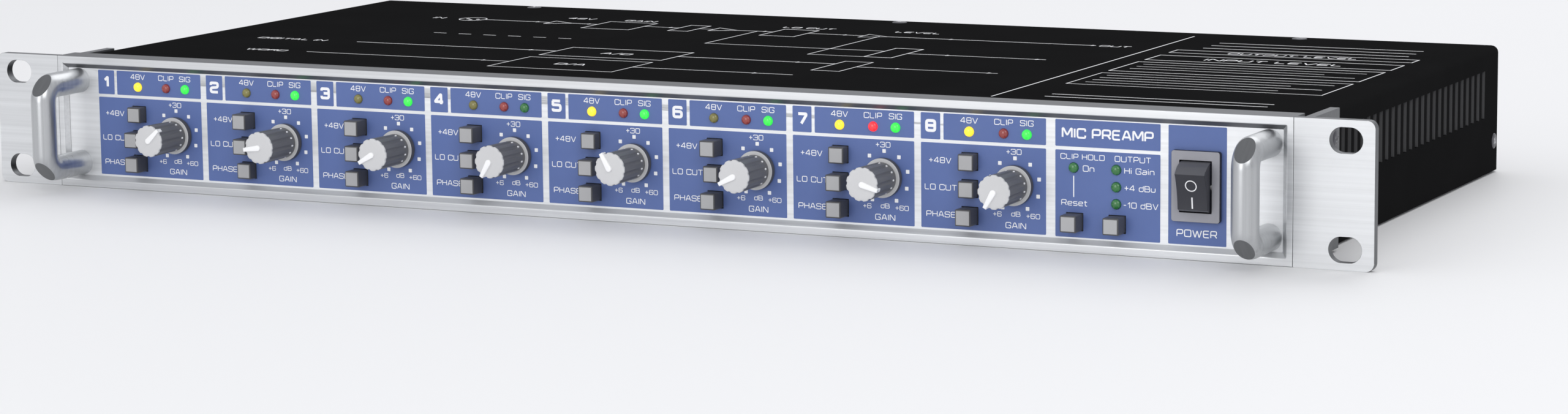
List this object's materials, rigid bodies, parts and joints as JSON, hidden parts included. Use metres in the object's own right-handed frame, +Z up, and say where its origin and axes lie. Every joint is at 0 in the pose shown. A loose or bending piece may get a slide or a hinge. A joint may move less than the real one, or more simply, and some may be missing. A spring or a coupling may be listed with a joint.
{
  "type": "rack microphone preamp",
  "caption": "Rack-mount microphone preamp, one rack unit high, with gain knobs, latching buttons and carrying handles in front and audio sockets behind.",
  "frame": {"origin": "middle of the four rack slots, on the front face of the rack ears", "axes": "+X to the right seen from the front, along the long side; +Y to the back; +Z up"},
  "size_m": [0.4826, 0.2479, 0.0438],
  "materials": {
    "rear_panel": "satin powder coat, dark grey",
    "case_black": "fine-textured black powder coat",
    "frame_aluminium": "bright satin, brushed lengthways",
    "plate_aluminium": "satin, brushed lengthways, with printed blue fields",
    "ear_aluminium": "bright satin, brushed lengthways",
    "handle_aluminium": "satin anodised",
    "led_lens": "tinted clear",
    "switch_plastic": "fine texture",
    "socket_plastic": "moulded",
    "port_plastic": "moulded",
    "mode_red": "moulded",
    "connector_shell": "plated",
    "bnc_nickel": "nickel plated",
    "jack_plastic": "moulded, with a bright ring",
    "combo_plastic": "moulded",
    "circuit_board": "green solder mask with parts",
    "screw_black": "blackened, bright recess",
    "knob_grey": "dark grey, light grey cap, white pointer",
    "button_grey": "grey, lighter face",
    "rocker_black": "black with white signs",
    "latch_nickel": "nickel plated"
  },
  "bodies": {
    "case": {"chassis_tray": "rear_panel", "top_cover": "case_black", "front_frame": "frame_aluminium", "front_plate": "plate_aluminium", "rack_ears": "ear_aluminium", "handles": "handle_aluminium", "status_leds": "led_lens", "power_switch_body": "switch_plastic", "mains_inlet": "socket_plastic", "optical_ports": "port_plastic", "mode_switch": "mode_red", "dsub_connector": "connector_shell", "bnc_socket": "bnc_nickel", "line_jacks": "jack_plastic", "combo_sockets": "combo_plastic", "electronics": "circuit_board", "case_screws": "screw_black"},
    "gain_knob_1": {"gain_knob_1": "knob_grey"},
    "gain_knob_2": {"gain_knob_2": "knob_grey"},
    "gain_knob_3": {"gain_knob_3": "knob_grey"},
    "gain_knob_4": {"gain_knob_4": "knob_grey"},
    "gain_knob_5": {"gain_knob_5": "knob_grey"},
    "gain_knob_6": {"gain_knob_6": "knob_grey"},
    "gain_knob_7": {"gain_knob_7": "knob_grey"},
    "gain_knob_8": {"gain_knob_8": "knob_grey"},
    "button_48v_1": {"button_48v_1": "button_grey"},
    "button_48v_2": {"button_48v_2": "button_grey"},
    "button_48v_3": {"button_48v_3": "button_grey"},
    "button_48v_4": {"button_48v_4": "button_grey"},
    "button_48v_5": {"button_48v_5": "button_grey"},
    "button_48v_6": {"button_48v_6": "button_grey"},
    "button_48v_7": {"button_48v_7": "button_grey"},
    "button_48v_8": {"button_48v_8": "button_grey"},
    "button_locut_1": {"button_locut_1": "button_grey"},
    "button_locut_2": {"button_locut_2": "button_grey"},
    "button_locut_3": {"button_locut_3": "button_grey"},
    "button_locut_4": {"button_locut_4": "button_grey"},
    "button_locut_5": {"button_locut_5": "button_grey"},
    "button_locut_6": {"button_locut_6": "button_grey"},
    "button_locut_7": {"button_locut_7": "button_grey"},
    "button_locut_8": {"button_locut_8": "button_grey"},
    "button_phase_1": {"button_phase_1": "button_grey"},
    "button_phase_2": {"button_phase_2": "button_grey"},
    "button_phase_3": {"button_phase_3": "button_grey"},
    "button_phase_4": {"button_phase_4": "button_grey"},
    "button_phase_5": {"button_phase_5": "button_grey"},
    "button_phase_6": {"button_phase_6": "button_grey"},
    "button_phase_7": {"button_phase_7": "button_grey"},
    "button_phase_8": {"button_phase_8": "button_grey"},
    "clip_reset_button": {"clip_reset_button": "button_grey"},
    "output_level_button": {"output_level_button": "button_grey"},
    "power_rocker": {"power_rocker": "rocker_black"},
    "input_latch_1": {"input_latch_1": "latch_nickel"},
    "input_latch_2": {"input_latch_2": "latch_nickel"},
    "input_latch_3": {"input_latch_3": "latch_nickel"},
    "input_latch_4": {"input_latch_4": "latch_nickel"},
    "input_latch_5": {"input_latch_5": "latch_nickel"},
    "input_latch_6": {"input_latch_6": "latch_nickel"},
    "input_latch_7": {"input_latch_7": "latch_nickel"},
    "input_latch_8": {"input_latch_8": "latch_nickel"}
  },
  "joints": [
    {"name": "gain_turn_1", "type": "hinge", "parent": "case", "child": "gain_knob_1", "pos_m": [-0.17063, 0.0014, -0.00287], "axis": [0, 1, 0], "range_deg": [-197, 103]},
    {"name": "gain_turn_2", "type": "hinge", "parent": "case", "child": "gain_knob_2", "pos_m": [-0.12777, 0.0014, -0.00287], "axis": [0, 1, 0], "range_deg": [-52, 248]},
    {"name": "gain_turn_3", "type": "hinge", "parent": "case", "child": "gain_knob_3", "pos_m": [-0.08491, 0.0014, -0.00287], "axis": [0, 1, 0], "range_deg": [-30, 270]},
    {"name": "gain_turn_4", "type": "hinge", "parent": "case", "child": "gain_knob_4", "pos_m": [-0.04205, 0.0014, -0.00287], "axis": [0, 1, 0], "range_deg": [0, 300]},
    {"name": "gain_turn_5", "type": "hinge", "parent": "case", "child": "gain_knob_5", "pos_m": [0.00081, 0.0014, -0.00287], "axis": [0, 1, 0], "range_deg": [-120, 180]},
    {"name": "gain_turn_6", "type": "hinge", "parent": "case", "child": "gain_knob_6", "pos_m": [0.04367, 0.0014, -0.00287], "axis": [0, 1, 0], "range_deg": [-33, 267]},
    {"name": "gain_turn_7", "type": "hinge", "parent": "case", "child": "gain_knob_7", "pos_m": [0.08653, 0.0014, -0.00287], "axis": [0, 1, 0], "range_deg": [-257, 43]},
    {"name": "gain_turn_8", "type": "hinge", "parent": "case", "child": "gain_knob_8", "pos_m": [0.12939, 0.0014, -0.00287], "axis": [0, 1, 0], "range_deg": [0, 300]},
    {"name": "press_48v_1", "type": "slide", "parent": "case", "child": "button_48v_1", "axis": [0, 1, 0], "range_m": [-0.0022, 0]},
    {"name": "press_48v_2", "type": "slide", "parent": "case", "child": "button_48v_2", "axis": [0, 1, 0], "range_m": [0, 0.0022]},
    {"name": "press_48v_3", "type": "slide", "parent": "case", "child": "button_48v_3", "axis": [0, 1, 0], "range_m": [0, 0.0022]},
    {"name": "press_48v_4", "type": "slide", "parent": "case", "child": "button_48v_4", "axis": [0, 1, 0], "range_m": [0, 0.0022]},
    {"name": "press_48v_5", "type": "slide", "parent": "case", "child": "button_48v_5", "axis": [0, 1, 0], "range_m": [-0.0022, 0]},
    {"name": "press_48v_6", "type": "slide", "parent": "case", "child": "button_48v_6", "axis": [0, 1, 0], "range_m": [0, 0.0022]},
    {"name": "press_48v_7", "type": "slide", "parent": "case", "child": "button_48v_7", "axis": [0, 1, 0], "range_m": [-0.0022, 0]},
    {"name": "press_48v_8", "type": "slide", "parent": "case", "child": "button_48v_8", "axis": [0, 1, 0], "range_m": [-0.0022, 0]},
    {"name": "press_locut_1", "type": "slide", "parent": "case", "child": "button_locut_1", "axis": [0, 1, 0], "range_m": [0, 0.0022]},
    {"name": "press_locut_2", "type": "slide", "parent": "case", "child": "button_locut_2", "axis": [0, 1, 0], "range_m": [0, 0.0022]},
    {"name": "press_locut_3", "type": "slide", "parent": "case", "child": "button_locut_3", "axis": [0, 1, 0], "range_m": [0, 0.0022]},
    {"name": "press_locut_4", "type": "slide", "parent": "case", "child": "button_locut_4", "axis": [0, 1, 0], "range_m": [0, 0.0022]},
    {"name": "press_locut_5", "type": "slide", "parent": "case", "child": "button_locut_5", "axis": [0, 1, 0], "range_m": [0, 0.0022]},
    {"name": "press_locut_6", "type": "slide", "parent": "case", "child": "button_locut_6", "axis": [0, 1, 0], "range_m": [-0.0022, 0]},
    {"name": "press_locut_7", "type": "slide", "parent": "case", "child": "button_locut_7", "axis": [0, 1, 0], "range_m": [0, 0.0022]},
    {"name": "press_locut_8", "type": "slide", "parent": "case", "child": "button_locut_8", "axis": [0, 1, 0], "range_m": [-0.0022, 0]},
    {"name": "press_phase_1", "type": "slide", "parent": "case", "child": "button_phase_1", "axis": [0, 1, 0], "range_m": [0, 0.0022]},
    {"name": "press_phase_2", "type": "slide", "parent": "case", "child": "button_phase_2", "axis": [0, 1, 0], "range_m": [-0.0022, 0]},
    {"name": "press_phase_3", "type": "slide", "parent": "case", "child": "button_phase_3", "axis": [0, 1, 0], "range_m": [0, 0.0022]},
    {"name": "press_phase_4", "type": "slide", "parent": "case", "child": "button_phase_4", "axis": [0, 1, 0], "range_m": [0, 0.0022]},
    {"name": "press_phase_5", "type": "slide", "parent": "case", "child": "button_phase_5", "axis": [0, 1, 0], "range_m": [0, 0.0022]},
    {"name": "press_phase_6", "type": "slide", "parent": "case", "child": "button_phase_6", "axis": [0, 1, 0], "range_m": [0, 0.0022]},
    {"name": "press_phase_7", "type": "slide", "parent": "case", "child": "button_phase_7", "axis": [0, 1, 0], "range_m": [0, 0.0022]},
    {"name": "press_phase_8", "type": "slide", "parent": "case", "child": "button_phase_8", "axis": [0, 1, 0], "range_m": [0, 0.0022]},
    {"name": "press_clip_reset", "type": "slide", "parent": "case", "child": "clip_reset_button", "axis": [0, 1, 0], "range_m": [0, 0.0022], "stiffness_N_per_m": 120},
    {"name": "press_output_level", "type": "slide", "parent": "case", "child": "output_level_button", "axis": [0, 1, 0], "range_m": [0, 0.0022], "stiffness_N_per_m": 120},
    {"name": "power_rock", "type": "hinge", "parent": "case", "child": "power_rocker", "pos_m": [0.187, 0.0008, 0], "axis": [1, 0, 0], "range_deg": [-28, 0]},
    {"name": "latch_press_1", "type": "slide", "parent": "case", "child": "input_latch_1", "axis": [0, -1, 0], "range_m": [0, 0.0012], "stiffness_N_per_m": 120},
    {"name": "latch_press_2", "type": "slide", "parent": "case", "child": "input_latch_2", "axis": [0, -1, 0], "range_m": [0, 0.0012], "stiffness_N_per_m": 120},
    {"name": "latch_press_3", "type": "slide", "parent": "case", "child": "input_latch_3", "axis": [0, -1, 0], "range_m": [0, 0.0012], "stiffness_N_per_m": 120},
    {"name": "latch_press_4", "type": "slide", "parent": "case", "child": "input_latch_4", "axis": [0, -1, 0], "range_m": [0, 0.0012], "stiffness_N_per_m": 120},
    {"name": "latch_press_5", "type": "slide", "parent": "case", "child": "input_latch_5", "axis": [0, -1, 0], "range_m": [0, 0.0012], "stiffness_N_per_m": 120},
    {"name": "latch_press_6", "type": "slide", "parent": "case", "child": "input_latch_6", "axis": [0, -1, 0], "range_m": [0, 0.0012], "stiffness_N_per_m": 120},
    {"name": "latch_press_7", "type": "slide", "parent": "case", "child": "input_latch_7", "axis": [0, -1, 0], "range_m": [0, 0.0012], "stiffness_N_per_m": 120},
    {"name": "latch_press_8", "type": "slide", "parent": "case", "child": "input_latch_8", "axis": [0, -1, 0], "range_m": [0, 0.0012], "stiffness_N_per_m": 120}
  ]
}
